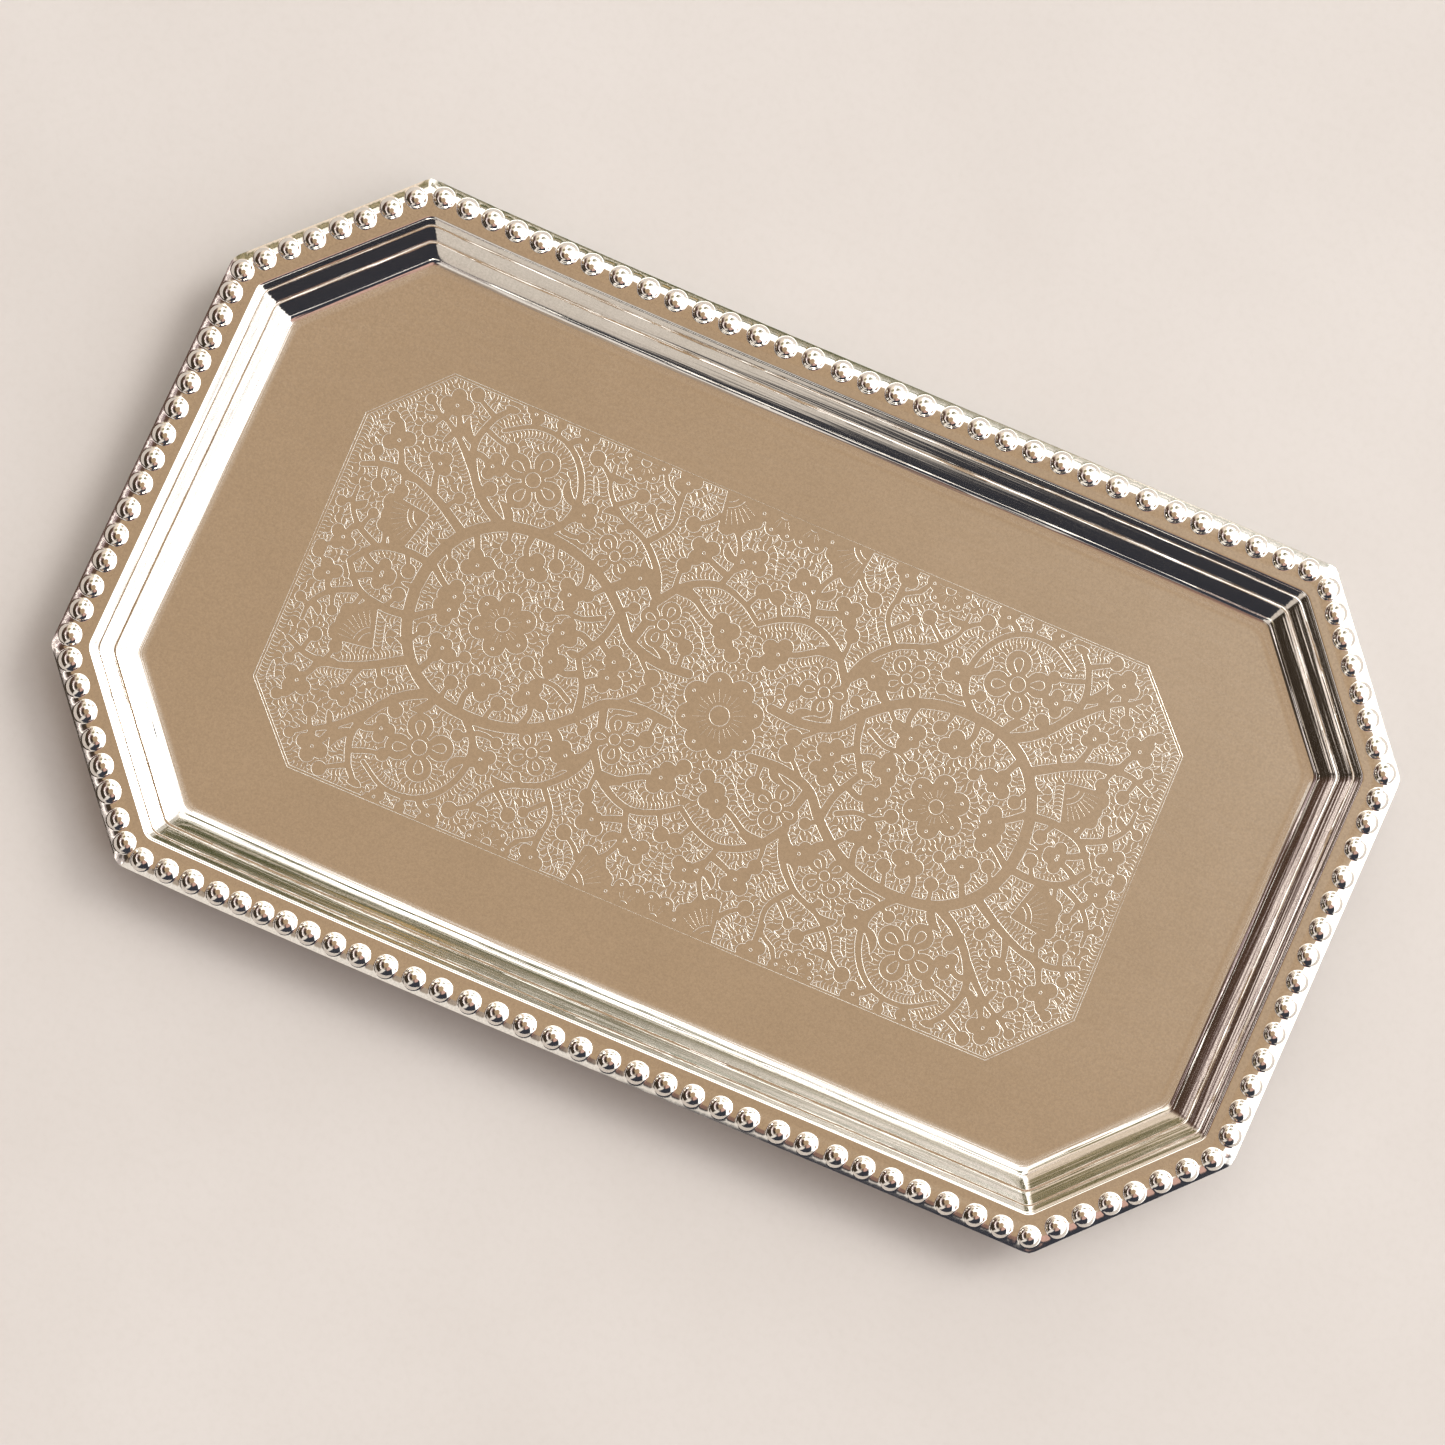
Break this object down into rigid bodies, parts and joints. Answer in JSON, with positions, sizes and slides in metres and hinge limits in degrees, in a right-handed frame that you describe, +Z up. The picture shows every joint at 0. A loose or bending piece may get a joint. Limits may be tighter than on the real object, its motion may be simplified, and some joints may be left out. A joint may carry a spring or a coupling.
{
  "type": "serving tray",
  "caption": "Eight-sided metal serving tray with a shallow pressed well, a stepped wall, a flat flange and an applied beaded border.",
  "frame": {"origin": "middle of the tray's underside, on the plane it stands on", "axes": "+X along the long side, +Y to the back, +Z up out of the well"},
  "size_m": [0.355, 0.2084, 0.019],
  "materials": {
    "tray_metal": "bright silver plate over brass, finely brushed along the length, with an etched floral panel on the floor",
    "border_metal": "bright polished silver plate"
  },
  "bodies": {
    "root": {"tray_pan": "tray_metal", "bead_border_long_front": "border_metal", "bead_border_long_back": "border_metal", "bead_border_end_left": "border_metal", "bead_border_end_right": "border_metal", "bead_border_corner_front_left": "border_metal", "bead_border_corner_front_right": "border_metal", "bead_border_corner_back_left": "border_metal", "bead_border_corner_back_right": "border_metal"}
  },
  "joints": []
}
